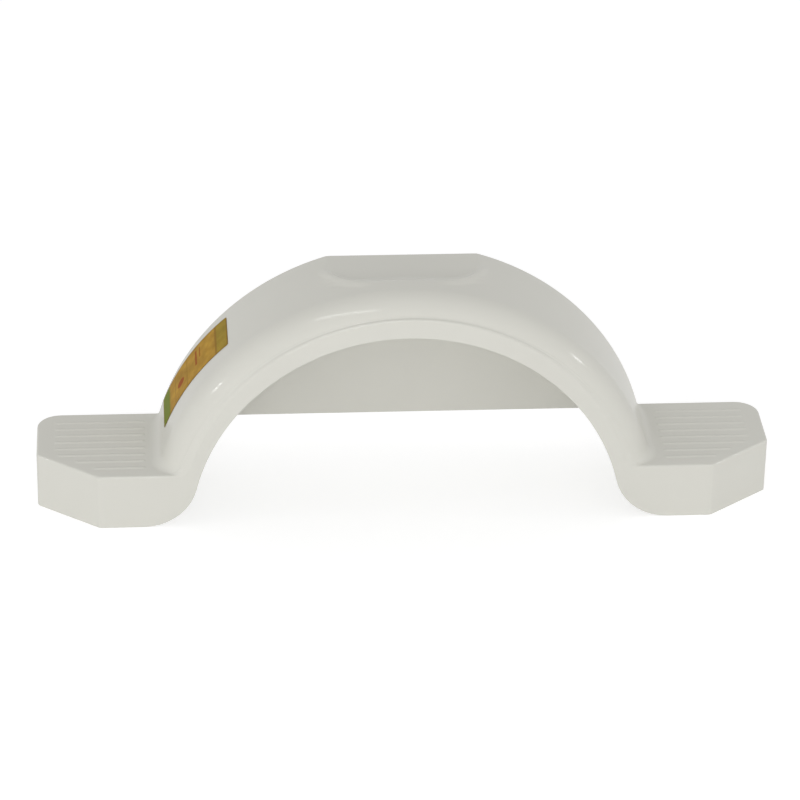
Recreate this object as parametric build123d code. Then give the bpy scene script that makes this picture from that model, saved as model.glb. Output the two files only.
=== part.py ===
"""Trailer mudguard: a one-piece moulded plastic guard for a single wheel.

A half-round arch covers the wheel and runs out at each end into a low step with a
ribbed top. The outer side has a skirt with a raised rim round the wheel opening and a
large rolled shoulder up to the tread. The inner side is a flat back wall that goes
against the trailer's frame, and the top of the arch has a flat sunken pad to step on.

Frame, in millimetres: X along the trailer, Y across it with the outer skirt at -Y and
the back wall at +Y, Z up. The origin is at the bottom centre of the part's box.
"""
from build123d import *
from math import asin, cos, hypot, radians, sin, sqrt
import os

# Overall width and wall of the moulding; its length, about 1000, follows from the arch
# and the steps
WIDTH = 176.0
WALL = 4.0

# Arch: the tread and the wheel opening are circles about one centre, just under the feet
TREAD_RADIUS = 345.0
ARCH_CENTRE_Z = -11.0
SKIRT_DEPTH = 52.5
SHOULDER_RADIUS = 45.0
SHOULDER_SECTIONS = 9
FLANK_FILLET = 18.0

# Raised rim round the wheel opening: how far its face stands proud of the shoulder's
# lower edge. It is proudest over the crown and dies away down the legs, because its
# front circle is smaller than that edge and lifted by as much
RIM_DEPTH = 5.0
RIM_LIFT = 13.0

# Steps at the two ends; their length runs from the foot of the arch's flank
STEP_LENGTH = 153.5
STEP_HEIGHT = 79.0
CHAMFER_LENGTH = 84.0
CHAMFER_DEPTH = 65.0
CHAMFER_EDGE_RADIUS = 9.0
REAR_CORNER_RADIUS = 32.0
EDGE_RADIUS = 3.0
FOOT_RADIUS = 74.0
REAR_FLANGE = 13.0

# Ribs on the step tops
RIB_COUNT = 8
RIB_PITCH = 18.0
RIB_WIDTH = 8.0
RIB_HEIGHT = 1.1
RIB_SLOPE = 60.0
RIB_FLANK_MARGIN = 6.0
RIB_END_MARGIN = 24.0

# Sunken pad on the crown
PAD_DROP = 15.5
PAD_LENGTH = 194.0
PAD_FRONT_DEPTH = 74.0
PAD_CORNER_RADIUS = 30.0
PAD_WALL_DRAFT = 20.0
PAD_FLOOR_RADIUS = 5.0

# Adhesive label, stuck a little askew on the tread's -X side: its length and the margin
# that its lowest corner keeps above the flank's fillet run round the tread
LABEL_LENGTH = 157.0
LABEL_WIDTH = 66.0
LABEL_CORNER_RADIUS = 3.0
LABEL_SKEW = 2.0
LABEL_FLANK_MARGIN = 12.5
LABEL_REAR_MARGIN = 20.0
LABEL_THICKNESS = 0.3
LABEL_GAP = 0.3

# How far a cutting or joined solid reaches past the face that it meets
OVERLAP = 2.0

# How close an edge or corner has to be to a plane to count as lying on it
TOUCH = 0.01

FRONT = -WIDTH / 2
REAR = WIDTH / 2
OPENING_RADIUS = TREAD_RADIUS - SKIRT_DEPTH
SHOULDER_CENTRE_RADIUS = TREAD_RADIUS - SHOULDER_RADIUS
RIM_RADIUS = SHOULDER_CENTRE_RADIUS + sqrt(
    SHOULDER_RADIUS**2 - (SHOULDER_RADIUS - RIM_DEPTH) ** 2
)
PAD_HEIGHT = ARCH_CENTRE_Z + TREAD_RADIUS - PAD_DROP

# The fillet at the foot of the tread's flank: the angle above the horizontal at which
# it leaves the tread, and how far out it meets the step top
FLANK_ANGLE = asin(
    (STEP_HEIGHT + FLANK_FILLET - ARCH_CENTRE_Z) / (TREAD_RADIUS + FLANK_FILLET)
)
FLANK_FOOT = (TREAD_RADIUS + FLANK_FILLET) * cos(FLANK_ANGLE)
END = FLANK_FOOT + STEP_LENGTH

# The arch and the steps are modelled apart and meet halfway from there to the chamfer
STEP_START = (FLANK_FOOT + END - CHAMFER_LENGTH) / 2


def depth_plane(depth):
    """Upright plane that faces -Y, the given distance behind the front face."""
    return Plane.XZ.offset(WIDTH / 2 - depth)


def mirrored(point):
    """The same point of an outline on the arch's other side."""
    return Vector(-point.X, point.Y)


def profile(depth, radius, centre_z, inset, bottom):
    """Front outline of the arch between its steps, as a face at the given depth.

    The arch circle runs into the level step tops through a concave arc at each side.
    """
    top = STEP_HEIGHT - inset
    fillet_radius = FLANK_FILLET + inset
    fillet_z = top + fillet_radius - centre_z
    centre = Vector(sqrt((radius + fillet_radius) ** 2 - fillet_z**2), top + fillet_radius)
    share = radius / (radius + fillet_radius)
    meet = Vector(centre.X * share, centre_z + fillet_z * share)
    foot = Vector(centre.X, top)
    middle = centre + ((meet - centre) + (foot - centre)).normalized() * fillet_radius
    crown = Vector(0, centre_z + radius)
    corner_top = Vector(STEP_START, top)
    corner_bottom = Vector(STEP_START, bottom)
    outline = Wire([
        Edge.make_line(mirrored(corner_bottom), mirrored(corner_top)),
        Edge.make_line(mirrored(corner_top), mirrored(foot)),
        Edge.make_three_point_arc(mirrored(foot), mirrored(middle), mirrored(meet)),
        Edge.make_three_point_arc(mirrored(meet), crown, meet),
        Edge.make_three_point_arc(meet, middle, foot),
        Edge.make_line(foot, corner_top),
        Edge.make_line(corner_top, corner_bottom),
        Edge.make_line(corner_bottom, mirrored(corner_bottom)),
    ])
    return depth_plane(depth) * Face(outline)


def upper_edges(body, y):
    """Edges of the outline at the given Y that lie above the bottom and off the ends."""
    lowest = body.bounding_box().min.Z
    found = []
    for edge in body.edges():
        box = edge.bounding_box()
        on_plane = abs(box.min.Y - y) < TOUCH and abs(box.max.Y - y) < TOUCH
        off_ends = abs(box.center().X) < STEP_START - TOUCH
        if on_plane and off_ends and box.min.Z > lowest + TOUCH:
            found.append(edge)
    return found


def arch(inset, bottom):
    """Arch and the inner ends of its steps, shrunk by inset on every outer face."""
    tube = SHOULDER_RADIUS - inset
    rim_radius = RIM_RADIUS - inset
    start_angle = asin((rim_radius - SHOULDER_CENTRE_RADIUS) / tube)

    def shoulder_profile(angle):
        depth = SHOULDER_RADIUS - tube * cos(angle)
        radius = SHOULDER_CENTRE_RADIUS + tube * sin(angle)
        return profile(depth, radius, ARCH_CENTRE_Z, inset, bottom)

    sweep_angle = radians(90) - start_angle
    sections = [
        shoulder_profile(start_angle + sweep_angle * index / (SHOULDER_SECTIONS - 1))
        for index in range(SHOULDER_SECTIONS)
    ]
    front = profile(inset, rim_radius - RIM_LIFT, ARCH_CENTRE_Z + RIM_LIFT, inset, bottom)
    rim = loft([front, sections[0]], ruled=True)
    shoulder = loft(sections)
    tread = extrude(sections[-1], WIDTH - inset - SHOULDER_RADIUS, dir=(0, 1, 0))
    if inset < EDGE_RADIUS:
        rim = fillet(upper_edges(rim, FRONT + inset), EDGE_RADIUS - inset)
        tread = fillet(upper_edges(tread, REAR - inset), EDGE_RADIUS - inset)
    return rim + shoulder + tread


def step(inset, bottom):
    """The +X step: a box with a chamfered outer corner and a rounded inner corner."""
    end = END - inset
    front = FRONT + inset
    rear = REAR - inset
    # Both ends of the chamfer line move so that its face keeps the same wall
    slant = hypot(CHAMFER_LENGTH, CHAMFER_DEPTH)
    along = inset * (slant - CHAMFER_DEPTH) / CHAMFER_LENGTH
    across = inset * (slant - CHAMFER_LENGTH) / CHAMFER_DEPTH
    plan = Polyline(
        (STEP_START, front),
        (END - CHAMFER_LENGTH - along, front),
        (end, FRONT + CHAMFER_DEPTH + across),
        (end, rear),
        (STEP_START, rear),
        close=True,
    )
    plan = make_face(plan)
    chamfer_corners = [
        corner for corner in plan.vertices()
        if corner.X > STEP_START + TOUCH and corner.Y < rear - TOUCH
    ]
    plan = fillet(chamfer_corners, CHAMFER_EDGE_RADIUS - inset)
    rear_corner = max(plan.vertices(), key=lambda corner: corner.X + corner.Y)
    plan = fillet(rear_corner, REAR_CORNER_RADIUS - inset)
    body = extrude(Pos(0, 0, bottom) * plan, STEP_HEIGHT - inset - bottom)
    if inset < EDGE_RADIUS:
        rim_edges = [
            edge
            for edge in body.edges()
            if edge.bounding_box().min.Z > STEP_HEIGHT - inset - TOUCH
            and edge.bounding_box().max.X > STEP_START + TOUCH
        ]
        body = fillet(rim_edges, EDGE_RADIUS - inset)
    return body


def pad_cutter(inset):
    """Space above the sunken pad: open to the rear, with drafted walls."""
    reach = TREAD_RADIUS - PAD_HEIGHT + inset + OVERLAP
    front = FRONT + PAD_FRONT_DEPTH - inset
    rear = REAR + TREAD_RADIUS
    length = PAD_LENGTH + 2 * inset
    plan = Pos(0, (front + rear) / 2) * Rectangle(length, rear - front)
    plan = fillet(plan.vertices().sort_by(Axis.Y)[:2], PAD_CORNER_RADIUS + inset)
    cutter = extrude(Pos(0, 0, PAD_HEIGHT - inset) * plan, reach, taper=-PAD_WALL_DRAFT)
    floor_edges = cutter.faces().sort_by(Axis.Z)[0].edges()
    return fillet(floor_edges, PAD_FLOOR_RADIUS + inset)


def form(inset, bottom):
    """The whole outer form, with every outer face moved inwards by inset."""
    right = step(inset, bottom)
    body = arch(inset, bottom) + right + mirror(right, Plane.YZ)
    return body - pad_cutter(inset)


def opening_cutter():
    """Wheel opening in the skirt: an arc that rolls out into the feet's bottom edges."""
    foot_z = FOOT_RADIUS - ARCH_CENTRE_Z
    foot_x = sqrt((OPENING_RADIUS + FOOT_RADIUS) ** 2 - foot_z**2)
    share = OPENING_RADIUS / (OPENING_RADIUS + FOOT_RADIUS)
    centre = Vector(foot_x, FOOT_RADIUS)
    meet = Vector(foot_x * share, ARCH_CENTRE_Z + foot_z * share)
    ground = Vector(foot_x, 0)
    middle = centre + ((meet - centre) + (ground - centre)).normalized() * FOOT_RADIUS
    crown = Vector(0, ARCH_CENTRE_Z + OPENING_RADIUS)
    below = Vector(foot_x, -OVERLAP)
    outline = Wire([
        Edge.make_line(mirrored(below), mirrored(ground)),
        Edge.make_three_point_arc(mirrored(ground), mirrored(middle), mirrored(meet)),
        Edge.make_three_point_arc(mirrored(meet), crown, meet),
        Edge.make_three_point_arc(meet, middle, ground),
        Edge.make_line(ground, below),
        Edge.make_line(below, mirrored(below)),
    ])
    return extrude(depth_plane(-OVERLAP) * Face(outline), WALL + 2 * OVERLAP, dir=(0, 1, 0))


def rear_cutter():
    """Open inner side below the step tops, between the wrapped end skirts."""
    half = END - REAR_CORNER_RADIUS - REAR_FLANGE
    height = STEP_HEIGHT - WALL
    return Pos(0, REAR, height - (height + OVERLAP) / 2) * Box(
        2 * half, 2 * (WALL + OVERLAP), height + OVERLAP
    )


def ribs():
    """Anti-slip ribs along both step tops, their outer ends in line with the chamfer."""
    bars = []
    for index in range(RIB_COUNT):
        depth = WIDTH / 2 + (index - (RIB_COUNT - 1) / 2) * RIB_PITCH
        chamfer_gap = max(CHAMFER_DEPTH - depth, 0) * CHAMFER_LENGTH / CHAMFER_DEPTH
        inner = FLANK_FOOT + RIB_FLANK_MARGIN
        outer = END - chamfer_gap - RIB_END_MARGIN
        plan = Rectangle(outer - inner, RIB_WIDTH)
        bar = extrude(plan, -OVERLAP) + extrude(plan, RIB_HEIGHT, taper=RIB_SLOPE)
        bars.append(Pos((inner + outer) / 2, FRONT + depth, STEP_HEIGHT) * bar)
    return bars + [mirror(bar, Plane.YZ) for bar in bars]


def mudguard():
    """The moulding: outer form less inner form, its openings and its ribs."""
    shell = form(0, 0) - form(WALL, -OVERLAP) - opening_cutter() - rear_cutter()
    return shell + ribs()


def label():
    """Thin adhesive label with rounded corners, wrapped on the tread's left side."""
    skew = radians(LABEL_SKEW)
    reach_up = (LABEL_LENGTH * cos(skew) + LABEL_WIDTH * sin(skew)) / 2
    reach_back = (LABEL_LENGTH * sin(skew) + LABEL_WIDTH * cos(skew)) / 2
    low = FLANK_ANGLE + LABEL_FLANK_MARGIN / TREAD_RADIUS
    angle = low + asin(reach_up / TREAD_RADIUS)
    centre = Vector(0, REAR - LABEL_REAR_MARGIN - reach_back, ARCH_CENTRE_Z)
    facing = Plane(centre, x_dir=(sin(angle), 0, cos(angle)), z_dir=(-cos(angle), 0, sin(angle)))
    outline = RectangleRounded(LABEL_LENGTH, LABEL_WIDTH, LABEL_CORNER_RADIUS)
    stamp = extrude(facing * Rot(0, 0, -LABEL_SKEW) * outline, TREAD_RADIUS + SHOULDER_RADIUS)
    inner = TREAD_RADIUS + LABEL_GAP
    sleeve = Cylinder(inner + LABEL_THICKNESS, WIDTH) - Cylinder(inner, WIDTH + OVERLAP)
    return Pos(0, 0, ARCH_CENTRE_Z) * Rot(90, 0, 0) * sleeve & stamp


if __name__ == "__main__":
    os.makedirs("parts", exist_ok=True)
    export_step(mudguard(), "parts/mudguard.step")
    export_step(label(), "parts/label.step")
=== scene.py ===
"""Dresses the trailer mudguard: a one-piece moulded shell, its printed label and a pale studio."""
import math

import bmesh
import bpy
import numpy as np
from mathutils import Matrix, Vector


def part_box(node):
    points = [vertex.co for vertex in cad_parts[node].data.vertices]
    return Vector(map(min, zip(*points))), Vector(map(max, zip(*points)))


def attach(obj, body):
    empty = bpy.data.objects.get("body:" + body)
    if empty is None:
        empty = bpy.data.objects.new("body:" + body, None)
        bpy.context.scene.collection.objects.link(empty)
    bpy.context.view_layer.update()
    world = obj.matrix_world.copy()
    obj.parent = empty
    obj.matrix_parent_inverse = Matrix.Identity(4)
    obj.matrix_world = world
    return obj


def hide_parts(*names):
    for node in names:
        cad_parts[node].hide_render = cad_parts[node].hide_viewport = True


bl_info = {
    "name": "Trailer Mudguard",
    "version": (1, 0, 0),
    "blender": (4, 5, 0),
    "location": "3D View > Sidebar > Mudguard",
    "description": "Builds a moulded trailer mudguard with its label and a pale studio",
    "category": "Object",
}

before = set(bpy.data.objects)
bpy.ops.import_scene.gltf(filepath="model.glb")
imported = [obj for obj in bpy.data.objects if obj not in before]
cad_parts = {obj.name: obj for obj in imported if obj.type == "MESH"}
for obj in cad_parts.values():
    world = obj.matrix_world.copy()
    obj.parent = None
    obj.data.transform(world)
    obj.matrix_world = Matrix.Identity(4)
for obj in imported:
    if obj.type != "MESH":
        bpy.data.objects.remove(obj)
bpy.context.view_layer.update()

GUARD_LOW, GUARD_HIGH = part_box("mudguard")
GUARD_LENGTH = GUARD_HIGH.x - GUARD_LOW.x
GUARD_WIDTH = GUARD_HIGH.y - GUARD_LOW.y
GUARD_HEIGHT = GUARD_HIGH.z - GUARD_LOW.z


def length(name, text, default):
    """A length that the panel shows in the scene's own unit."""
    return bpy.props.FloatProperty(
        name=name, description=text, default=default, unit="LENGTH", subtype="DISTANCE", precision=4
    )


def colour(name, text, default):
    """A colour as the surface itself has it, in linear values."""
    return bpy.props.FloatVectorProperty(
        name=name, description=text, default=default, size=3, min=0.0, max=1.0, subtype="COLOR"
    )


def fraction(name, text, default):
    """A share from 0 to 1."""
    return bpy.props.FloatProperty(
        name=name, description=text, default=default, min=0.0, max=1.0, subtype="FACTOR"
    )


def watts(name, text, default):
    """The power of a lamp."""
    return bpy.props.FloatProperty(
        name=name, description=text, default=default, min=0.0, unit="POWER"
    )


def from_screen(red, green, blue):
    """Linear colour of three display values from 0 to 255."""
    def linear(value):
        share = value / 255
        return share / 12.92 if share <= 0.04045 else ((share + 0.055) / 1.055) ** 2.4

    return (linear(red), linear(green), linear(blue))


class MudguardSizes(bpy.types.PropertyGroup):
    """Sizes of the moulding and its label, in metres."""

    wall: length("Wall", "Thickness of the moulded wall", 0.004)
    arch_centre: length("Arch centre", "Height of the arch's centre over the feet", -0.011)
    skirt_depth: length("Skirt depth", "From the tread down to the wheel opening's edge", 0.0525)
    shoulder_radius: length("Shoulder radius", "Radius that rolls the skirt into the tread", 0.045)
    tread_radius: length("Tread radius", "Radius of the arch's tread", 0.345)
    flank_fillet: length("Flank fillet", "Radius between tread and step at the shoulder", 0.018)
    rear_fillet: length("Rear fillet", "The same radius at the back wall", 0.002)
    fillet_taper: length("Fillet taper", "Depth from which the flank's fillet gets sharper", 0.095)
    rim_depth: length("Rim depth", "How far the rim stands proud of the shoulder", 0.005)
    rim_lift: length("Rim lift", "How far the rim's front circle is lifted", 0.013)
    step_height: length("Step height", "Height of the steps", 0.079)
    chamfer_length: length("Chamfer length", "Length of a step's cut corner", 0.084)
    chamfer_depth: length("Chamfer depth", "Depth of a step's cut corner", 0.065)
    chamfer_round: length("Chamfer round", "Upright edge radius at the cut corner", 0.009)
    rear_round: length("Rear round", "Radius of a step's rear corner", 0.032)
    edge_round: length("Edge round", "Radius of the upper outer edges", 0.003)
    inner_round: length("Inner round", "Radius of the same edges inside the wall", 0.001)
    foot_round: length("Foot round", "Radius from the wheel opening to the ground", 0.074)
    rear_flange: length("Rear flange", "How far the end skirt wraps round the rear corner", 0.013)
    rib_pitch: length("Rib pitch", "Distance between the steps' ribs", 0.018)
    rib_width: length("Rib width", "Width of a rib at its foot", 0.008)
    rib_height: length("Rib height", "Height of a rib", 0.0009)
    rib_flank_margin: length("Rib inner margin", "From the flank's foot to a rib", 0.006)
    rib_end_margin: length("Rib outer margin", "From a rib to the step's edge", 0.024)
    pad_drop: length("Pad drop", "Depth of the sunken pad under the crown", 0.0155)
    pad_length: length("Pad length", "Length of the sunken pad", 0.206)
    pad_front: length("Pad front", "From the skirt to the front edge of the pad's floor", 0.094)
    pad_corner: length("Pad corner", "Corner radius of the pad's floor", 0.052)
    pad_soft: length("Pad softness", "Reach of the rounding at the pad's floor", 0.012)
    pad_rim: length("Pad rim", "Reach of the rounding at the pad's rim", 0.006)
    pad_lip: length("Pad lip", "Height of the soft lip at the pad's front corners", 0.0030)
    crease_soft: length("Crease softness", "Reach of the rounding behind the rim", 0.004)
    trim_round: length("Trim round", "Radius of the trimmed lower edges", 0.0005)
    label_length: length("Label length", "Length of the label round the tread", 0.162)
    label_width: length("Label width", "Width of the label along the axle", 0.078)
    label_middle: length("Label middle", "From the arch centre's height round to its middle", 0.197)
    label_depth: length("Label depth", "From the skirt to the label's middle", 0.1215)
    label_lean: length("Label lean", "How far its top end is shifted to the front", 0.014)
    label_round: length("Label round", "Radius of the label's corners", 0.003)
    label_gap: length("Label gap", "From the tread to the label's film", 0.0003)
    label_film: length("Label film", "Thickness of the label's film", 0.0003)
    rib_count: bpy.props.IntProperty(
        name="Rib count", description="Ribs on each step", default=8, min=0, max=20
    )
    pad_draft: bpy.props.FloatProperty(
        name="Pad draft", description="Angle of the pad's wall from upright",
        default=math.radians(55), unit="ROTATION", subtype="ANGLE"
    )


def smooth_step(value):
    """Runs from 0 to 1 with level ends as the value does."""
    value = np.clip(value, 0.0, 1.0)
    return value * value * (3.0 - 2.0 * value)


def soft_min(first, second, reach):
    """The smaller value, with the corner rounded where the two differ by less than reach."""
    near = np.maximum(reach - np.abs(first - second), 0.0) / reach
    return np.minimum(first, second) - near * near * reach / 4.0


def soft_max(first, second, reach):
    """The larger value, with the corner rounded where the two differ by less than reach."""
    return -soft_min(-first, -second, reach)


def merged(values, closest):
    """Sorted values, less those within the closest distance of the one before."""
    kept = []
    for value in sorted(values):
        if not kept or value - kept[-1] > closest:
            kept.append(value)
    return kept


def grid(rows, count):
    """Faces between points that are numbered row by row, with so many in a row."""
    faces = []
    for row in range(rows - 1):
        for column in range(count - 1):
            corner = row * count + column
            faces.append((corner, corner + 1, corner + 1 + count, corner + count))
    return faces


def strip(before, after):
    """Faces between two lines of as many points, given by their numbers."""
    return [
        (before[place], after[place], after[place + 1], before[place + 1])
        for place in range(len(before) - 1)
    ]


def renumbered(faces, shift, turned=False):
    """The same faces, turned over if asked, on points numbered higher by the shift."""
    order = -1 if turned else 1
    return [tuple(shift + index for index in face[::order]) for face in faces]


class Outline:
    """Front outline of one row of the shell: crown to step, for the +X half.

    A column is a kind and a place along it: round the arch, round the flank's fillet or
    along the level step.
    """

    # Share of the arch, from the crown down, in which the rows' columns are in line
    IN_LINE = 0.6

    def __init__(self, radius, centre, top, fillet):
        self.radius = radius
        self.centre = centre
        self.top = top
        self.fillet = fillet
        rise = top + fillet - centre
        self.meet = math.asin(rise / (radius + fillet))
        self.foot = (radius + fillet) * math.cos(self.meet)

    def points(self, columns, end, even=False):
        """X and Z of every column, where the level part ends at the given X.

        Columns stand in line with the tread's, or spread evenly over this row's own arch.
        """
        x = np.zeros(columns.count)
        z = np.zeros(columns.count)
        meet = self.meet if even else columns.meet
        angle = math.pi / 2 - columns.arch * (math.pi / 2 - meet)
        own = (columns.arch - self.IN_LINE) / (1.0 - self.IN_LINE)
        angle += (self.meet - meet) * np.clip(own, 0.0, 1.0)
        x[columns.on_arch] = self.radius * np.cos(angle)
        z[columns.on_arch] = self.centre + self.radius * np.sin(angle)
        turn = self.meet + math.pi + columns.fillet * (math.pi / 2 - self.meet)
        x[columns.on_fillet] = self.foot + self.fillet * np.cos(turn)
        z[columns.on_fillet] = self.top + self.fillet + self.fillet * np.sin(turn)
        x[columns.on_level] = columns.level(self.foot, end)
        z[columns.on_level] = self.top
        return x, z


class Columns:
    """Stations from the crown to the step's end, shared by every row."""

    # Distances from the flank's foot and from the step's end at which stations are laid
    NEAR_FLANK = (0.0015, 0.003, 0.0045, 0.0055, 0.0065, 0.0078, 0.0095, 0.011, 0.0125, 0.014,
                  0.0155, 0.017, 0.019, 0.022, 0.028)
    NEAR_END = (0.0, 0.0015, 0.004, 0.008, 0.016, 0.018, 0.019, 0.020, 0.021, 0.022, 0.024,
                0.027, 0.032)
    BETWEEN = 6
    FILLET_STEPS = 9
    ARCH_STEP = math.radians(1.0)
    CLOSEST = 0.0002
    # Greatest share of a level part that the close stations at its two ends take
    MOST_OF_LEVEL = 0.8

    def __init__(self, tread, pad_places, pad_reach, flange):
        self.meet = tread.meet
        near = merged([*pad_places, 0.0], self.CLOSEST)
        angles = [math.acos(place / tread.radius) for place in near if place < pad_reach]
        last = math.acos(pad_reach / tread.radius)
        steps = math.ceil((last - tread.meet) / self.ARCH_STEP)
        angles += [last - (last - tread.meet) * index / steps for index in range(steps + 1)]
        self.arch = (math.pi / 2 - np.array(angles)) / (math.pi / 2 - tread.meet)
        self.fillet = np.arange(1, self.FILLET_STEPS + 1) / self.FILLET_STEPS
        self.near_end = merged([*self.NEAR_END, flange], self.CLOSEST)[::-1]
        level_count = len(self.NEAR_FLANK) + self.BETWEEN + len(self.near_end)
        self.count = len(self.arch) + len(self.fillet) + level_count
        index = np.arange(self.count)
        self.on_arch = index < len(self.arch)
        self.on_level = index >= self.count - level_count
        self.on_fillet = ~self.on_arch & ~self.on_level
        self.foot = len(self.arch) + len(self.fillet) - 1
        self.flange = self.count - len(self.near_end) + self.near_end.index(flange)

    def level(self, foot, end):
        """X of the stations on the step, close together at the ends of the ribs."""
        room = self.MOST_OF_LEVEL * (end - foot)
        shrink = min(1.0, room / (self.NEAR_FLANK[-1] + self.near_end[0]))
        inner = [foot + place * shrink for place in self.NEAR_FLANK]
        outer = [end - place * shrink for place in self.near_end]
        gap = (outer[0] - inner[-1]) / (self.BETWEEN + 1)
        middle = [inner[-1] + gap * (index + 1) for index in range(self.BETWEEN)]
        return np.array(inner + middle + outer)


class Shell:
    """Works out both skins of the moulding and joins them into one closed mesh."""

    SHOULDER_ROWS = 18
    ROUND_ROWS = 5
    CORNER_ROWS = 9
    WIDEST_ROW = 0.008
    CLOSEST_ROW = 0.00028
    WELD = 0.00002
    TINY = 1e-9
    # Distances from the rim's inner edge at which rows are laid
    CREASE_OFFSETS = [0.0004 * step for step in range(-4, 6)]
    # Shares of a turn at which rows are laid round the ends of the cut corner
    TURN_SHARES = (0.25, 0.5, 0.75, 1.0)
    # Places across a rib, in halves of its width, at which rows are laid
    RIB_PLACES = (-1.04, -0.86, -0.66, -0.45, -0.2, 0.0, 0.2, 0.45, 0.66, 0.86, 1.04)
    # Share of a rib's width that each of its slopes takes
    RIB_RAMP = 0.42
    # How late towards the rear the flank's fillet gets sharp; 1 would be evenly
    TAPER_POWER = 4
    # Offsets from the pad's edge at which rows and columns are laid
    PAD_OFFSETS = (-0.016, -0.012, -0.009, -0.007, -0.0055, -0.0042, -0.003, -0.002, -0.001,
                   0.0, 0.001, 0.002, 0.003, 0.004, 0.005, 0.006, 0.0072, 0.009, 0.0115, 0.015)
    # Distance between the columns laid over the pad and round its corners
    PAD_STEP = 0.006
    # Least share of the pad's roundings, kept where its wall is lowest
    LEAST_SOFT = 0.22
    # How far beyond the pad's rim the lip's crest runs, and how far it reaches from there
    LIP_OFFSET = 0.008
    LIP_REACH = 0.016
    # X at which the lip starts, and the length in which it rises
    LIP_START = 0.036
    LIP_RISE = 0.03
    # Distances from a pad corner's centre between which the grid turns square again
    PAD_FADE = (0.084, 0.1)
    # Share of the pad's corner radius in which the grid takes up the inner skin's shift
    SHIFT_SHARE = 0.6
    # How far outside the pad's corner the grid stays round
    ROUND_REACH = 0.016
    # How much further than the fade a row's points are moved on to the grid
    GRID_MARGIN = 0.004
    # Shares of the front face's height at which its rows are laid, from the bottom up
    FACE_SHARES = (0.0, 0.03, 0.2, 0.4, 0.6, 0.8, 0.93)
    # Shares of the back wall's height at which its rows are laid, from the top down
    BACK_SHARES = (0.012, 0.25, 0.5, 0.75, 0.95, 1.0)

    def __init__(self, sizes):
        self.s = sizes
        self.front = -GUARD_WIDTH / 2
        self.rear = GUARD_WIDTH / 2
        self.end = GUARD_LENGTH / 2
        self.tread_radius = sizes.tread_radius
        self.opening_radius = self.tread_radius - sizes.skirt_depth
        self.shoulder_centre = self.tread_radius - sizes.shoulder_radius
        self.rim_radius = self.shoulder_centre + math.sqrt(
            sizes.shoulder_radius**2 - (sizes.shoulder_radius - sizes.rim_depth) ** 2
        )
        self.pad_height = sizes.arch_centre + sizes.tread_radius - sizes.pad_drop
        self.pad_half = sizes.pad_length / 2
        self.pad_edge = self.front + sizes.pad_front
        self.corner_x = self.pad_half - sizes.pad_corner
        self.corner_y = self.pad_edge + sizes.pad_corner
        self.turn = math.atan2(sizes.chamfer_depth, sizes.chamfer_length)
        self.back_edge = sizes.step_height - sizes.wall
        self.tread = Outline(
            self.tread_radius, sizes.arch_centre, sizes.step_height, sizes.flank_fillet
        )
        places = [self.pad_half + offset for offset in self.PAD_OFFSETS]
        pad_reach = self.corner_x + self.PAD_FADE[1]
        places += list(np.arange(self.PAD_STEP, pad_reach - self.PAD_STEP / 2, self.PAD_STEP))
        self.columns = Columns(self.tread, places, pad_reach, round(sizes.rear_flange, 6))
        side_height = sizes.step_height - sizes.edge_round
        self.face_shares = (*self.FACE_SHARES, self.back_edge / side_height)
        self.depths = self.row_depths()

    def row_depths(self):
        """Depths behind the skirt at which the rows between the two roundings lie."""
        s = self.s
        start = math.acos((s.shoulder_radius - s.rim_depth) / s.shoulder_radius)
        first = s.edge_round
        last = GUARD_WIDTH - s.edge_round
        depths = [first, last] + [s.rim_depth + offset for offset in self.CREASE_OFFSETS]
        for index in range(self.SHOULDER_ROWS):
            angle = start + (math.pi / 2 - start) * (index + 1) / self.SHOULDER_ROWS
            depths.append(s.shoulder_radius * (1 - math.cos(angle)))
        for index in range(self.CORNER_ROWS + 1):
            share = index / self.CORNER_ROWS
            rear = s.rear_round - s.edge_round
            depths.append(GUARD_WIDTH - s.rear_round + rear * math.sin(share * math.pi / 2))
        round_radius = s.chamfer_round - s.edge_round
        second = s.chamfer_depth + s.chamfer_round * math.tan((math.pi / 2 - self.turn) / 2)
        for share in self.TURN_SHARES:
            depths.append(first + round_radius * (1 - math.cos(share * self.turn)))
            depths.append(second - round_radius * math.sin(share * (math.pi / 2 - self.turn)))
        depths.append(second)
        for rib in range(s.rib_count):
            middle = self.rib_depth(rib)
            depths += [middle + place * s.rib_width / 2 for place in self.RIB_PLACES]
        depths += [s.pad_front - offset for offset in self.PAD_OFFSETS]
        depths = merged(depths, self.CLOSEST_ROW)
        filled = []
        for low, high in zip(depths, depths[1:]):
            count = math.ceil((high - low) / self.WIDEST_ROW)
            filled += [low + (high - low) * index / count for index in range(count)]
        return filled + [last]

    def rib_depth(self, index):
        """Depth of one rib's middle behind the skirt."""
        return GUARD_WIDTH / 2 + (index - (self.s.rib_count - 1) / 2) * self.s.rib_pitch

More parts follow.
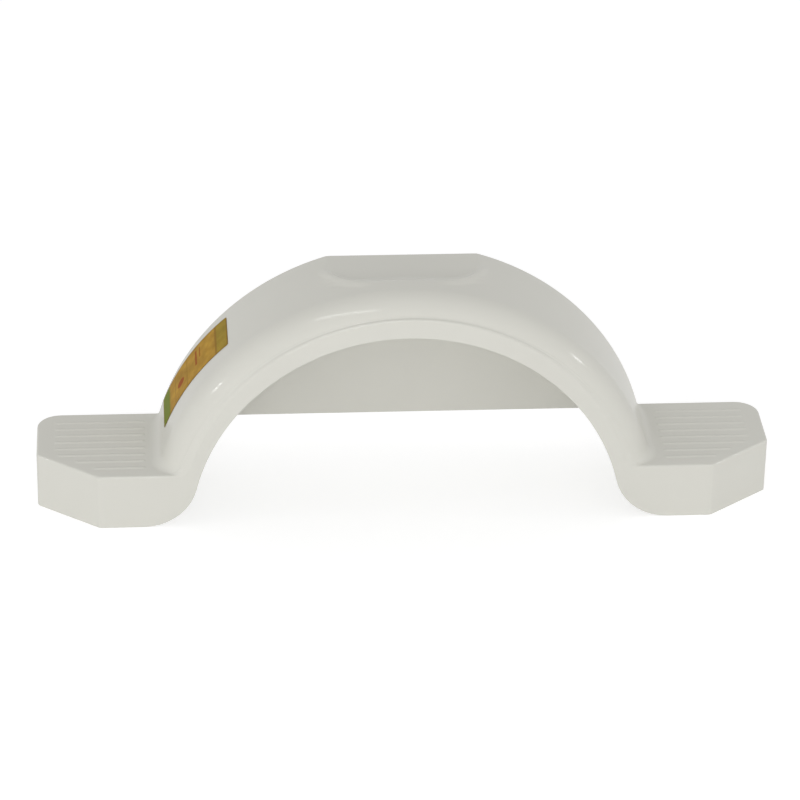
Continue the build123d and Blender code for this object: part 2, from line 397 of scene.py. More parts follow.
    def plan_point(self, y, inset):
        """Point of the step's plan outline, inset by that much, with its outward normal."""
        s = self.s
        front_x = self.chamfer_start()
        front_y = self.front + s.chamfer_round
        end_x = self.end - s.chamfer_round
        end_y = self.front + s.chamfer_depth + s.chamfer_round * math.tan(
            (math.pi / 2 - self.turn) / 2
        )
        radius = s.chamfer_round - inset
        rear_x = self.end - s.rear_round
        rear_y = self.rear - s.rear_round
        rear_radius = s.rear_round - inset
        low = front_y - radius * math.cos(self.turn)
        high = end_y - radius * math.cos(self.turn)
        slope = self.turn - math.pi / 2
        if y < low:
            angle = math.asin(max((y - front_y) / radius, -1.0))
            centre_x, reach = front_x, radius
        elif y < high:
            share = (y - low) / (high - low)
            start = front_x + radius * math.cos(slope)
            stop = end_x + radius * math.cos(slope)
            return start + (stop - start) * share, slope
        elif y < end_y:
            angle = math.asin((y - end_y) / radius)
            centre_x, reach = end_x, radius
        elif y < rear_y:
            return self.end - inset, 0.0
        else:
            angle = math.asin(min((y - rear_y) / rear_radius, 1.0))
            centre_x, reach = rear_x, rear_radius
        return centre_x + reach * math.cos(angle), angle

    def chamfer_start(self):
        """X at which the front face ends and the cut corner's rounding starts."""
        s = self.s
        return self.end - s.chamfer_length - s.chamfer_round * math.tan(self.turn / 2)

    def lower_edge(self):
        """X and Z of the wheel opening's edge and the foot's bottom, column by column."""
        edge = Outline(self.opening_radius, self.s.arch_centre, 0.0, self.s.foot_round)
        return edge.points(self.columns, self.chamfer_start(), even=True)

    def warp(self, x, y, inset):
        """Bends the square grid round the pad's corners, so that its lines follow the edge."""
        s = self.s
        across = np.abs(x) - self.corner_x
        along = self.corner_y - y
        fade_start, fade_end = self.PAD_FADE
        for part in (across, along):
            inner = smooth_step(part / (s.pad_corner * self.SHIFT_SHARE))
            outer = 1.0 - smooth_step((part - fade_start) / (fade_end - fade_start))
            part += inset * inner * outer
        both = (across > 0) & (along > 0)
        square = np.maximum(across, along)
        reach = np.maximum(np.hypot(across, along), self.TINY)
        start = s.pad_corner + self.ROUND_REACH
        fade = 1.0 - smooth_step((square - start) / (fade_end - start))
        factor = np.where(both, 1.0 + fade * (square / reach - 1.0), 1.0)
        return self.corner_x + across * factor, self.corner_y - along * factor

    def pad_surface(self, x, y, tread_z, inset):
        """Height of the crown with the sunken pad in it."""
        s = self.s
        across = np.abs(x) - self.corner_x
        along = self.corner_y - y
        outside = np.hypot(np.maximum(across, 0), np.maximum(along, 0))
        inside = np.minimum(np.maximum(across, along), 0)
        edge = outside + inside - (s.pad_corner + inset)
        floor = self.pad_height - inset
        wall = floor + edge / math.tan(s.pad_draft)
        share = np.clip((tread_z - floor) / s.pad_drop, self.LEAST_SOFT, 1.0)
        beyond = edge - (tread_z - floor) * math.tan(s.pad_draft)
        near = np.clip(1.0 - np.abs(beyond - self.LIP_OFFSET) / self.LIP_REACH, 0.0, 1.0)
        outward = smooth_step((np.abs(x) - self.LIP_START) / self.LIP_RISE)
        forward = smooth_step(along / self.LIP_RISE)
        lip = s.pad_lip * smooth_step(near) * outward * forward
        bottom = soft_max(floor, wall, s.pad_soft * share)
        return soft_min(tread_z + lip, bottom, s.pad_rim * share)

    def rib_rise(self, x, y):
        """Height of the ribs over the step's top."""
        s = self.s
        depth = y - self.front
        rise = np.zeros_like(x)
        ramp = s.rib_width * self.RIB_RAMP
        inner = self.tread.foot + s.rib_flank_margin
        for index in range(s.rib_count):
            middle = self.rib_depth(index)
            gap = max(s.chamfer_depth - middle, 0.0) * s.chamfer_length / s.chamfer_depth
            outer = self.end - gap - s.rib_end_margin
            beside = (s.rib_width / 2 - np.abs(depth - middle)) / ramp
            along = np.minimum(x - inner, outer - x) / ramp
            rise = np.maximum(rise, s.rib_height * smooth_step(np.minimum(beside, along)))
        return rise

    def crease(self, depth):
        """How much the rounding behind the rim stands off the two surfaces it joins."""
        s = self.s
        steep = (s.shoulder_radius - s.rim_depth) / (self.rim_radius - self.shoulder_centre)
        near = max(1.0 - steep * abs(depth - s.rim_depth) / s.crease_soft, 0.0)
        return near * near * s.crease_soft / 4

    def fillet_at(self, depth):
        """Radius of the flank's fillet, which gets sharper towards the rear."""
        s = self.s
        share = max(depth - s.fillet_taper, 0.0) / (GUARD_WIDTH - s.fillet_taper)
        return s.flank_fillet + (s.rear_fillet - s.flank_fillet) * share**self.TAPER_POWER

    def skin(self, inset, edge):
        """Rows of points of one skin, from the skirt's lower edge to the back wall's."""
        s = self.s
        columns = self.columns
        front_y = self.front + inset
        rear_y = self.rear - inset
        top = s.step_height - inset
        fillet = s.flank_fillet + inset
        tube = s.shoulder_radius - inset
        rim_radius = self.rim_radius - inset
        start = math.asin((rim_radius - self.shoulder_centre) / tube)
        rim_depth = s.shoulder_radius - tube * math.cos(start)
        outer_start = math.acos((s.shoulder_radius - s.rim_depth) / s.shoulder_radius)
        face_end = self.chamfer_start()

        def rim(extra, share, end, rise=0.0):
            """Row on the rim's ledge, part way from its front circle to the shoulder."""
            face = Outline(rim_radius - s.rim_lift - extra + rise, s.arch_centre + s.rim_lift,
                           top - extra, fillet + extra)
            foot = Outline(rim_radius - extra + rise, s.arch_centre, top - extra, fillet + extra)
            face_x, face_z = face.points(columns, end)
            foot_x, foot_z = foot.points(columns, end)
            return face_x + (foot_x - face_x) * share, face_z + (foot_z - face_z) * share

        rows = []
        low_x, low_z = self.lower_edge()
        high_x, high_z = rim(edge, 0.0, face_end)
        for share in self.face_shares:
            rows.append((low_x + (high_x - low_x) * share, np.full(columns.count, front_y),
                         low_z + (high_z - low_z) * share))
        for index in range(self.ROUND_ROWS):
            turn = index / self.ROUND_ROWS * math.pi / 2
            depth = edge * (1 - math.cos(turn))
            x, z = rim(edge * (1 - math.sin(turn)), depth / (rim_depth - inset), face_end)
            rows.append((x, np.full(columns.count, front_y + depth), z))
        self.top_start = len(rows)
        for outer_depth in self.depths:
            if outer_depth <= s.rim_depth:
                share = (outer_depth - s.edge_round) / (s.rim_depth - s.edge_round)
                depth = inset + edge + share * (rim_depth - inset - edge)
            elif outer_depth < s.shoulder_radius:
                angle = math.acos((s.shoulder_radius - outer_depth) / s.shoulder_radius)
                share = (angle - outer_start) / (math.pi / 2 - outer_start)
                angle = start + share * (math.pi / 2 - start)
                depth = s.shoulder_radius - tube * math.cos(angle)
            else:
                span = GUARD_WIDTH - s.edge_round - s.shoulder_radius
                share = (outer_depth - s.shoulder_radius) / span
                depth = s.shoulder_radius + share * (GUARD_WIDTH - inset - edge - s.shoulder_radius)
            y = self.front + depth
            end, _ = self.plan_point(y, inset + edge)
            if outer_depth <= s.rim_depth:
                share = (depth - inset) / (rim_depth - inset)
                x, z = rim(0.0, share, end, self.crease(outer_depth))
                rows.append((x, np.full(columns.count, y), z))
                continue
            if outer_depth < s.shoulder_radius:
                radius = self.shoulder_centre + tube * math.sin(angle) + self.crease(outer_depth)
            else:
                radius = self.tread_radius - inset
            outline = Outline(radius, s.arch_centre, top, self.fillet_at(depth) + inset)
            x, z = outline.points(columns, end)
            rows.append(self.finish_row(x, y, z, radius, inset, 0.0))
        self.top_stop = len(rows) - 1
        rear_end = self.end - s.rear_round
        for index in range(self.ROUND_ROWS):
            turn = (index + 1) / self.ROUND_ROWS * math.pi / 2
            drop = edge * (1 - math.cos(turn))
            y = rear_y - edge * (1 - math.sin(turn))
            radius = self.tread_radius - inset - drop
            flank = self.fillet_at(y - self.front) + inset + drop
            outline = Outline(radius, s.arch_centre, top - drop, flank)
            x, z = outline.points(columns, rear_end)
            rows.append(self.finish_row(x, y, z, radius, inset, drop))
        self.wall_start = len(rows) - 1
        hidden = np.arange(columns.count) < columns.flange
        if inset > 0.0:
            for x, y, z in rows[self.top_stop:]:
                z[hidden] = np.maximum(z[hidden], self.back_edge)
        wall_x, wall_y, wall_z = rows[-1]
        bottom = np.where(hidden, self.back_edge, self.face_shares[-1] * (top - edge))
        beyond = np.arange(columns.count) >= columns.foot
        for share in self.BACK_SHARES:
            z = np.where(beyond, bottom, wall_z + (bottom - wall_z) * share)
            rows.append((wall_x, wall_y, z))
        return rows

    def half(self, inset, edge):
        """Points, faces and lower boundary of one skin's +X half."""
        rows = self.skin(inset, edge)
        count = self.columns.count
        points = [point for row in rows for point in zip(*row)]
        faces = grid(len(rows), count)
        lower = self.end_skirt(points, faces, rows, inset, edge)
        flange = self.rear_flange(points, faces, len(rows) - 1, lower[-1])
        back = [(len(rows) - 1) * count + column for column in range(self.columns.flange)]
        skirt = [column[0] for column in lower[1:]]
        edge_loop = list(range(count)) + skirt + flange + back[::-1]
        return points, faces, edge_loop

    def end_skirt(self, points, faces, rows, inset, edge):
        """Skirt round the step's cut corner, end and rear corner, column by column."""
        s = self.s
        count = self.columns.count
        top = s.step_height - inset
        columns = [[row * count + count - 1 for row in range(self.top_start + 1)]]
        for row in range(self.top_start + 1, self.top_stop):
            y = float(rows[row][1][-1])
            x, angle = self.plan_point(y, inset + edge)
            column = []
            for share in self.face_shares:
                column.append((edge, share * (top - edge)))
            for index in range(self.ROUND_ROWS):
                turn = index / self.ROUND_ROWS * math.pi / 2
                column.append((edge * math.cos(turn), top - edge * (1 - math.sin(turn))))
            start = len(points)
            for reach, z in column:
                points.append((x + reach * math.cos(angle), y + reach * math.sin(angle), z))
            columns.append([*range(start, start + len(column)), row * count + count - 1])
        x = float(rows[self.wall_start][0][-1])
        y = float(rows[self.wall_start][1][-1])
        start = len(points)
        for share in self.face_shares[:-1]:
            points.append((x, y, share * (top - edge)))
        last = [*range(start, len(points)), (len(rows) - 1) * count + count - 1]
        last += [row * count + count - 1 for row in range(self.wall_start, self.top_stop - 1, -1)]
        columns.append(last)
        for before, after in zip(columns, columns[1:]):
            faces += strip(before, after)
        return columns

    def rear_flange(self, points, faces, wall_row, corner):
        """Flange that wraps round the rear corner under the step; returns its free edge."""
        count = self.columns.count
        before = corner[:len(self.face_shares)]
        bottom = []
        for column in range(count - 2, self.columns.flange - 1, -1):
            head = wall_row * count + column
            start = len(points)
            for index in before[:-1]:
                points.append((points[head][0], points[head][1], points[index][2]))
            after = [*range(start, len(points)), head]
            faces += strip(before, after)
            bottom.append(after[0])
            before = after
        return bottom + before[1:]

    def mesh(self):
        """Both skins, joined round their lower boundary and mirrored, as one mesh."""
        outer, faces, outer_loop = self.half(0.0, self.s.edge_round)
        inner, inner_faces, inner_loop = self.half(self.s.wall, self.s.inner_round)
        shift = len(outer)
        points = np.array(outer + inner)
        faces += renumbered(inner_faces, shift)
        inner_loop = [shift + index for index in inner_loop]
        trimmed = set()
        for loop in (outer_loop, inner_loop):
            trimmed |= {frozenset(pair) for pair in zip(loop, loop[1:])}
        faces += strip(outer_loop, inner_loop)
        total = len(points)
        flipped = points * np.array([-1.0, 1.0, 1.0])
        faces += renumbered(faces, total, turned=True)
        trimmed |= {frozenset(total + index for index in pair) for pair in trimmed}
        mesh = bpy.data.meshes.new("mudguard_shell")
        mesh.from_pydata(np.concatenate([points, flipped]).tolist(), [], faces)
        work = bmesh.new()
        work.from_mesh(mesh)
        weight = work.edges.layers.float.new("bevel_weight_edge")
        for item in work.edges:
            if frozenset((item.verts[0].index, item.verts[1].index)) in trimmed:
                item[weight] = 1.0
        bmesh.ops.remove_doubles(work, verts=work.verts[:], dist=self.WELD)
        bmesh.ops.recalc_face_normals(work, faces=work.faces[:])
        work.to_mesh(mesh)
        work.free()
        mesh.shade_smooth()
        return mesh

    def finish_row(self, x, y, z, radius, inset, drop):
        """Adds the pad and the ribs to a row that runs over the tread and the step tops."""
        x = x.copy()
        y = np.full(len(x), y)
        z = z.copy()
        s = self.s
        if y[0] - self.front >= s.shoulder_radius - self.TINY:
            reach = self.corner_x + self.PAD_FADE[1] + self.GRID_MARGIN
            near = self.columns.on_arch & (x < reach)
            new_x, new_y = self.warp(x[near], y[near], inset)
            tread_z = s.arch_centre + np.sqrt(radius**2 - new_x**2)
            z[near] = self.pad_surface(new_x, new_y, tread_z + drop, inset) - drop
            x[near] = new_x
            y[near] = new_y
        if inset == 0.0 and drop == 0.0:
            level = self.columns.on_level
            z[level] += self.rib_rise(x[level], y[level])
        return x, y, z


class Film:
    """The label: a thin closed sheet with rounded corners, wrapped on the tread's left side."""

    ROWS = 60
    COLUMNS = 24
    CORNER_ROWS = 6

    def __init__(self, sizes):
        self.s = sizes

    def outline(self):
        """Place along the label and half width of each row."""
        s = self.s
        straight = s.label_length / 2 - s.label_round
        corner = []
        for index in range(self.CORNER_ROWS + 1):
            turn = index / self.CORNER_ROWS * math.pi / 2
            corner.append((straight + s.label_round * math.sin(turn),
                           s.label_width / 2 - s.label_round * (1 - math.cos(turn))))
        rows = [(-place, half) for place, half in reversed(corner)]
        step = 2 * straight / self.ROWS
        rows += [(-straight + step * index, s.label_width / 2) for index in range(1, self.ROWS)]
        return rows + corner

    def mesh(self):
        """Closed mesh of the film in the frame's metres."""
        s = self.s
        rows = self.outline()
        sheets = (s.tread_radius + s.label_gap, s.tread_radius + s.label_gap + s.label_film)
        points = []
        for radius in sheets:
            for place, half in rows:
                angle = (s.label_middle + place) / s.tread_radius
                depth = s.label_depth - s.label_lean * place / s.label_length
                for column in range(self.COLUMNS + 1):
                    across = half * (2 * column / self.COLUMNS - 1)
                    points.append((-radius * math.cos(angle),
                                   across + depth - GUARD_WIDTH / 2,
                                   s.arch_centre + radius * math.sin(angle)))
        count = self.COLUMNS + 1
        sheet = len(rows) * count
        faces = grid(len(rows), count)
        faces += renumbered(faces, sheet, turned=True)
        last = (len(rows) - 1) * count
        edge = list(range(count))
        edge += [row * count + self.COLUMNS for row in range(1, len(rows))]
        edge += [last + column for column in range(self.COLUMNS - 1, -1, -1)]
        edge += [row * count for row in range(len(rows) - 2, -1, -1)]
        faces += strip(edge, [sheet + index for index in edge])
        mesh = bpy.data.meshes.new("label_film")
        mesh.from_pydata(points, [], faces)
        work = bmesh.new()
        work.from_mesh(mesh)
        bmesh.ops.recalc_face_normals(work, faces=work.faces[:])
        work.to_mesh(mesh)
        work.free()
        return mesh


class Shading:
    """Builds the nodes of a material or a world, whose maths reads as Python expressions."""

    # Sockets of a Mix node on colours: its share, its two colours and its result
    MIX_SHARE = 0
    MIX_FIRST = 6
    MIX_SECOND = 7
    MIX_RESULT = 2

    def __init__(self, owner):
        owner.use_nodes = True
        self.owner = owner
        self.tree = owner.node_tree
        self.tree.nodes.clear()

    def node(self, kind, settings=None, values=None, output=0):
        """A node of any kind: its settings first, then its sockets' values or links."""
        made = self.tree.nodes.new(kind)
        for name, setting in (settings or {}).items():
            setattr(made, name, setting)
        for name, value in (values or {}).items():
            self.feed(made.inputs[name], value)
        return Term(self, made.outputs[output])

    def feed(self, socket, value):
        """Links a term to a socket, or writes a plain value on it."""
        if isinstance(value, Term):
            self.tree.links.new(value.socket, socket)
        elif isinstance(value, tuple) and len(value) == 3 and socket.type == "RGBA":
            socket.default_value = (*value, 1.0)
        else:
            socket.default_value = value

    def maths(self, operation, *values, clamp=False):
        """A Math node on numbers."""
        return self.node("ShaderNodeMath", {"operation": operation, "use_clamp": clamp},
                         dict(enumerate(values)))

    def mix(self, share, first, second):
        """A colour between two, by a share from 0 to 1."""
        return self.node(
            "ShaderNodeMix", {"data_type": "RGBA"},
            {self.MIX_SHARE: share, self.MIX_FIRST: first, self.MIX_SECOND: second},
            self.MIX_RESULT,
        )

    def place(self):
        """The point on the piece, in the frame's metres."""
        return self.node("ShaderNodeTexCoord", output="Object")

    def noise(self, vector, scale):
        """Even noise from 0 to 1; scale counts its features in a metre."""
        return self.node("ShaderNodeTexNoise", {}, {"Vector": vector, "Scale": scale})

    def seen_as_backdrop(self):
        """1 for the rays that show the backdrop: the camera's, and those off gloss and glass."""
        path = self.node("ShaderNodeLightPath")
        mirrored = path.also("Is Glossy Ray") + path.also("Is Transmission Ray")
        return (path.also("Is Camera Ray") + mirrored).clamped()

    def finish(self, surface, kind="ShaderNodeOutputMaterial"):
        """Ends the nodes with their surface."""
        output = self.tree.nodes.new(kind)
        self.tree.links.new(surface.socket, output.inputs["Surface"])
        return self.owner


class Term:
    """A socket that takes part in expressions with numbers and other terms."""

    def __init__(self, shading, socket):
        self.shading = shading
        self.socket = socket

    def __add__(self, other):
        return self.shading.maths("ADD", self, other)

    def __radd__(self, other):
        return self.shading.maths("ADD", other, self)

    def __sub__(self, other):
        return self.shading.maths("SUBTRACT", self, other)

    def __rsub__(self, other):
        return self.shading.maths("SUBTRACT", other, self)

    def __mul__(self, other):
        return self.shading.maths("MULTIPLY", self, other)

    def __rmul__(self, other):
        return self.shading.maths("MULTIPLY", other, self)

    def __truediv__(self, other):
        return self.shading.maths("DIVIDE", self, other)

    def __rtruediv__(self, other):
        return self.shading.maths("DIVIDE", other, self)

    def clamped(self):
        """The same value held between 0 and 1."""
        return self.shading.maths("ADD", self, 0.0, clamp=True)

    def also(self, name):
        """Another output of the same node."""
        return Term(self.shading, self.socket.node.outputs[name])

    def part(self, axis):
        """One of a vector's three numbers."""
        return self.shading.node("ShaderNodeSeparateXYZ", {}, {0: self}, output=axis)


class Finishes(bpy.types.PropertyGroup):
    """Colours and gloss of the moulding and the label."""

    plastic: colour("Plastic", "Colour of the moulded plastic", from_screen(217, 216, 208))
    amber: colour("Amber", "Ground colour of the label", from_screen(192, 152, 60))
    amber_dark: colour("Dark amber", "Stripes of the label", from_screen(140, 106, 40))
    green: colour("Green", "Lower end of the label", from_screen(116, 128, 44))
    russet: colour("Russet", "Bars of the label", from_screen(150, 66, 26))
    sheen_roughness: fraction("Sheen roughness", "Roughness of the moulded plastic", 0.5)
    skin_weight: fraction("Skin", "Share of the plastic's smooth skin", 0.3)
    skin_roughness: fraction("Skin roughness", "Roughness of the plastic's smooth skin", 0.12)
    print_roughness: fraction("Print roughness", "Roughness of the label's film", 0.6)


# Specular level of both surfaces, which are dull
DULL = 0.05

# Flow marks in the plastic: features in a metre, contrast and how dark they are; clouds in
# its gloss: features in a metre and how far they change the roughness
FLOW_SCALE = 7.0
FLOW_CONTRAST = 1.6
FLOW_TONE = 0.97
CLOUD_SCALE = 30.0
CLOUD_DEPTH = 0.06

# Print of the label: places along it are shares of its length from the lower end, and
# places across it shares of its width from the front
STRIPES = ((0.85, 0.875), (0.46, 0.468), (0.26, 0.268))
BARS = ((0.59, 0.615, 0.35, 0.85), (0.65, 0.662, 0.5, 0.85))
SPOT_ALONG = 0.36
SPOT_ACROSS = 0.45
SPOT_RADIUS = 0.009
GREEN_BELOW = 0.15
GREEN_ABOVE = 0.87
BORDER_ALONG = 0.012
BORDER_ACROSS = 0.025
BEYOND = (-1.0, 2.0)
# How strongly the marks cover what is under them
FAINT_INK = 0.35
BORDER_INK = 0.7
STRIPE_INK = 0.8
MARK_INK = 0.85
# Over how much of the label, or of a metre for the spot, the marks' edges fade
SOFT_ALONG = 0.012
SOFT_ACROSS = 0.04
SOFT_GREEN = 0.03
SOFT_SPOT = 0.002
# Blots and grain in the print: features in a metre, contrast and what is taken off
BLOTS = (45.0, 1.6, 0.45)
GRAIN = (190.0, 1.5, 0.6)


def moulded_plastic(finish):
    """Warm white moulded plastic: a soft sheen with a thin, sharper skin over it."""
    shading = Shading(bpy.data.materials.new("moulded_plastic"))
    place = shading.place()
    flow = shading.noise(place, FLOW_SCALE)
    cloud = shading.noise(place, CLOUD_SCALE)
    plain = tuple(finish.plastic)
    deep = tuple(value * FLOW_TONE for value in plain)
    tint = shading.mix(((flow - 0.5) * FLOW_CONTRAST + 0.5).clamped(), deep, plain)
    surface = shading.node("ShaderNodeBsdfPrincipled", {}, {
        "Base Color": tint,
        "Roughness": finish.sheen_roughness + (cloud - 0.5) * CLOUD_DEPTH,
        "Specular IOR Level": DULL,
        "Coat Weight": finish.skin_weight,
        "Coat Roughness": finish.skin_roughness,
    })
    return shading.finish(surface)


def printed_label(settings):
    """Printed film: an amber ground with green ends, dark stripes and russet marks."""
    sizes = settings.mudguard_sizes
    finish = settings.mudguard_finishes
    shading = Shading(bpy.data.materials.new("printed_label"))
    place = shading.place()
    angle = shading.maths("ARCTAN2", place.part(2) - sizes.arch_centre, place.part(0) * -1.0)
    along = (angle * sizes.tread_radius - sizes.label_middle) / sizes.label_length + 0.5
    lean = (along - 0.5) * sizes.label_lean
    middle = sizes.label_depth - GUARD_WIDTH / 2
    across = (place.part(1) - middle + lean) / sizes.label_width + 0.5

    def band(value, low, high, soft):
        """Share that is 1 between two values, with soft ends."""
        rise = ((value - low) / soft + 0.5).clamped()
        fall = ((high - value) / soft + 0.5).clamped()
        return rise * fall

    def spot():
        """Share that is 1 inside the round spot."""
        up = (along - SPOT_ALONG) * sizes.label_length
        aside = (across - SPOT_ACROSS) * sizes.label_width
        reach = shading.maths("SQRT", up * up + aside * aside)
        return ((SPOT_RADIUS - reach) / SOFT_SPOT + 0.5).clamped()

    def flecks(scale, contrast, less):
        """Share that uneven ink covers."""
        return (shading.noise(place, scale) * contrast - less).clamped()

    amber, dark, green, russet = (
        tuple(tint) for tint in (finish.amber, finish.amber_dark, finish.green, finish.russet)
    )
    low, high = BEYOND
    tint = shading.mix(flecks(*BLOTS), amber, dark)
    tint = shading.mix(flecks(*GRAIN) * FAINT_INK, tint, russet)
    tint = shading.mix(band(along, GREEN_ABOVE, high, SOFT_ALONG) * FAINT_INK, tint, green)
    for first, last in STRIPES:
        tint = shading.mix(band(along, first, last, SOFT_ALONG) * STRIPE_INK, tint, dark)
    for first, last, left, right in BARS:
        bar = band(along, first, last, SOFT_ALONG) * band(across, left, right, SOFT_ACROSS)
        tint = shading.mix(bar * MARK_INK, tint, russet)
    tint = shading.mix(spot() * MARK_INK, tint, russet)
    tint = shading.mix(band(along, low, GREEN_BELOW, SOFT_GREEN), tint, green)
    inside = band(along, BORDER_ALONG, 1.0 - BORDER_ALONG, BORDER_ALONG)
    inside = inside * band(across, BORDER_ACROSS, 1.0 - BORDER_ACROSS, BORDER_ACROSS)
    tint = shading.mix((1.0 - inside) * BORDER_INK, tint, dark)
    surface = shading.node("ShaderNodeBsdfPrincipled", {}, {
        "Base Color": tint,
        "Roughness": finish.print_roughness,
        "Specular IOR Level": DULL,
    })
    return shading.finish(surface)


class MUDGUARD_OT_moulding(bpy.types.Operator):
    """Build the moulded shell in place of its plain solid"""

    bl_idname = "mudguard.moulding"
    bl_label = "Moulding"

    def execute(self, context):
        settings = context.scene
        mesh = Shell(settings.mudguard_sizes).mesh()
        shell = bpy.data.objects.new("mudguard_moulding", mesh)
        context.scene.collection.objects.link(shell)
        trim = shell.modifiers.new("Trim edges", "BEVEL")
        trim.limit_method = "WEIGHT"
        trim.width = settings.mudguard_sizes.trim_round
        trim.segments = 2
        trim.use_clamp_overlap = False
        weigh = shell.modifiers.new("Weigh normals", "WEIGHTED_NORMAL")
        weigh.weight = 50
        shell.data.materials.append(moulded_plastic(settings.mudguard_finishes))
        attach(shell, "root")
        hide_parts("mudguard")
        return {"FINISHED"}


class MUDGUARD_OT_label(bpy.types.Operator):
    """Build the adhesive label's printed film in place of its plain solid"""

    bl_idname = "mudguard.label"
    bl_label = "Label"

    def execute(self, context):
        settings = context.scene
        mesh = Film(settings.mudguard_sizes).mesh()
        film = bpy.data.objects.new("printed_film", mesh)
        context.scene.collection.objects.link(film)
        film.data.materials.append(printed_label(settings))
        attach(film, "root")
        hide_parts("label")
        return {"FINISHED"}


class StageSettings(bpy.types.PropertyGroup):
    """Lens and light of the studio."""

    lens: bpy.props.FloatProperty(
        name="Lens", description="Focal length on a 36 mm sensor, in millimetres",
        default=171.0, min=10.0
    )
    low_sky: bpy.props.FloatProperty(
        name="Low sky", description="Strength of the light near the horizon", default=1.04, min=0.0
    )
    high_sky: bpy.props.FloatProperty(
        name="High sky", description="Strength of the light overhead", default=0.455, min=0.0
    )
    key_power: watts("Front light", "Power of the wide lamp in front", 41.0)
    upper_power: watts("Upper light", "Power of the long lamp that gives only a reflection", 9.0)
    side_power: watts("Side lamps", "Power of each small lamp", 3.2)
    floor_grey: fraction("Floor", "How much light the floor gives back", 0.9)
    shadow_depth: fraction(
        "Shadow depth", "Share of the floor's picture that shadows can darken", 0.55
    )


# Where the photograph was taken from: the camera's place and its two picture axes
CAMERA_PLACE = (-0.3538, -4.5123, 2.6482)
CAMERA_RIGHT = (0.99753, -0.06853, 0.01532)
CAMERA_UP = (0.01985, 0.48455, 0.87454)

WHITE = (1.0, 1.0, 1.0)

# Half the width of the floor
FLOOR_REACH = 30.0

# Each lamp's turn from the front towards +X, its height as an angle, its distance, width
# and height
UPPER_LAMP = (math.radians(-44), math.radians(63), 2.6, 1.5, 0.22)
FRONT_LAMP = (math.radians(-8), math.radians(15), 4.0, 2.4, 1.4)
SIDE_LAMPS = (
    (math.radians(-79), math.radians(18), 2.6, 0.16, 0.16),
    (math.radians(85), math.radians(23), 2.6, 0.16, 0.16),
)


def direction(turn, lift):
    """Unit vector towards a place round the object, turned from the front towards +X."""
    flat = math.cos(lift)
    return Vector((flat * math.sin(turn), -flat * math.cos(turn), math.sin(lift)))


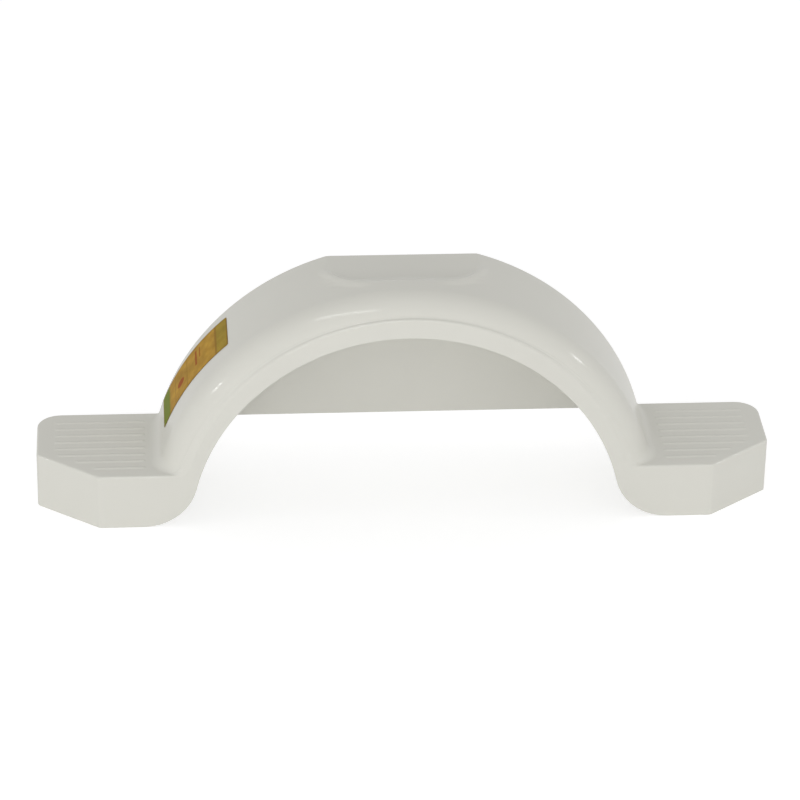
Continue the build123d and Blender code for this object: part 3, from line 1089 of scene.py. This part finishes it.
class MUDGUARD_OT_stage(bpy.types.Operator):
    """Set up the floor, the light and the camera"""

    bl_idname = "mudguard.stage"
    bl_label = "Stage"

    def execute(self, context):
        settings = context.scene.mudguard_stage
        self.floor(context, settings)
        self.world(context, settings)
        self.lamps(context, settings)
        self.camera(context, settings)
        context.scene.view_settings.view_transform = "Standard"
        return {"FINISHED"}

    def floor(self, context, settings):
        """A large floor that looks white but keeps a soft shadow."""
        mesh = bpy.data.meshes.new("floor")
        turns = ((-1, -1), (1, -1), (1, 1), (-1, 1))
        corners = [(FLOOR_REACH * x, FLOOR_REACH * y, 0) for x, y in turns]
        mesh.from_pydata(corners, [], [(0, 1, 2, 3)])
        floor = bpy.data.objects.new("floor", mesh)
        context.scene.collection.objects.link(floor)
        shading = Shading(bpy.data.materials.new("studio_floor"))
        grey = (settings.floor_grey,) * 3
        shadowed = (settings.shadow_depth,) * 3
        plain = shading.node("ShaderNodeBsdfDiffuse", {}, {"Color": grey})
        picture = shading.node("ShaderNodeBsdfDiffuse", {}, {"Color": shadowed})
        glow = shading.node(
            "ShaderNodeEmission", {}, {"Color": WHITE, "Strength": self.glow(settings)}
        )
        picture = shading.node("ShaderNodeAddShader", {}, {0: picture, 1: glow})
        surface = shading.node(
            "ShaderNodeMixShader", {}, {0: shading.seen_as_backdrop(), 1: plain, 2: picture}
        )
        floor.data.materials.append(shading.finish(surface))

    def glow(self, settings):
        """What the floor lacks to look white under the mean of the sky that lights it."""
        level = (settings.low_sky + 2 * settings.high_sky) / 3
        return max(1.0 - settings.shadow_depth * level, 0.0)

    def world(self, context, settings):
        """Sky that is brighter near the horizon, and looks plain white."""
        shading = Shading(bpy.data.worlds.new("studio"))
        height = shading.node("ShaderNodeTexCoord", output="Generated").part(2).clamped()
        strength = settings.low_sky + height * (settings.high_sky - settings.low_sky)
        sky = shading.node("ShaderNodeBackground", {}, {"Color": WHITE, "Strength": strength})
        backdrop = shading.node("ShaderNodeBackground", {}, {"Color": WHITE, "Strength": 1.0})
        surface = shading.node(
            "ShaderNodeMixShader", {}, {0: shading.seen_as_backdrop(), 1: sky, 2: backdrop}
        )
        context.scene.world = shading.finish(surface, "ShaderNodeOutputWorld")

    def lamps(self, context, settings):
        """One wide lamp in front, a long one above its left and a small one at each side."""
        self.lamp(context, "front_lamp", settings.key_power, FRONT_LAMP)
        upper = self.lamp(context, "upper_lamp", settings.upper_power, UPPER_LAMP)
        # It draws the streak along the left shoulder and gives no other light
        upper.visible_diffuse = False
        for side, place in zip(("left", "right"), SIDE_LAMPS):
            self.lamp(context, f"{side}_lamp", settings.side_power, place)

    def lamp(self, context, name, power, place):
        """An area lamp that faces the middle of the guard."""
        turn, lift, distance, width, height = place
        data = bpy.data.lights.new(name, "AREA")
        data.shape = "RECTANGLE"
        data.size = width
        data.size_y = height
        data.energy = power
        lamp = bpy.data.objects.new(name, data)
        aim = Vector((0.0, 0.0, GUARD_HEIGHT / 2))
        lamp.location = aim + direction(turn, lift) * distance
        lamp.rotation_euler = (aim - lamp.location).to_track_quat("-Z", "Y").to_euler()
        context.scene.collection.objects.link(lamp)
        return lamp

    def camera(self, context, settings):
        """The camera at the photograph's place and angle."""
        data = bpy.data.cameras.new("camera")
        data.sensor_width = 36.0
        data.lens = settings.lens
        data.clip_end = 100.0
        camera = bpy.data.objects.new("camera", data)
        right = Vector(CAMERA_RIGHT).normalized()
        up = Vector(CAMERA_UP).normalized()
        back = right.cross(up)
        turn = Matrix((right, up, back)).transposed().to_4x4()
        camera.matrix_world = Matrix.Translation(CAMERA_PLACE) @ turn
        context.scene.collection.objects.link(camera)
        context.scene.camera = camera


class MUDGUARD_PT_panel(bpy.types.Panel):
    """Lists the steps that build the mudguard."""

    bl_idname = "MUDGUARD_PT_panel"
    bl_label = "Mudguard"
    bl_space_type = "VIEW_3D"
    bl_region_type = "UI"
    bl_category = "Mudguard"

    def draw(self, context):
        layout = self.layout
        for operator in OPERATORS:
            layout.operator(operator.bl_idname)
        for group in ("mudguard_sizes", "mudguard_finishes", "mudguard_stage"):
            settings = getattr(context.scene, group)
            box = layout.box()
            for name in settings.bl_rna.properties.keys():
                if name not in ("rna_type", "name"):
                    box.prop(settings, name)


GROUPS = {
    "mudguard_sizes": MudguardSizes,
    "mudguard_finishes": Finishes,
    "mudguard_stage": StageSettings,
}
OPERATORS = (MUDGUARD_OT_moulding, MUDGUARD_OT_label, MUDGUARD_OT_stage)


def register():
    """Registers every class, with its settings on the scene."""
    for name, group in GROUPS.items():
        bpy.utils.register_class(group)
        setattr(bpy.types.Scene, name, bpy.props.PointerProperty(type=group))
    for item in (*OPERATORS, MUDGUARD_PT_panel):
        bpy.utils.register_class(item)


def unregister():
    """Takes everything off again, in the other order."""
    for item in (MUDGUARD_PT_panel, *reversed(OPERATORS)):
        bpy.utils.unregister_class(item)
    for name, group in reversed(GROUPS.items()):
        delattr(bpy.types.Scene, name)
        bpy.utils.unregister_class(group)


def main():
    """Builds everything in order."""
    register()
    bpy.ops.mudguard.moulding()
    bpy.ops.mudguard.label()
    bpy.ops.mudguard.stage()
    bpy.context.view_layer.update()


if __name__ == "__main__":
    main()
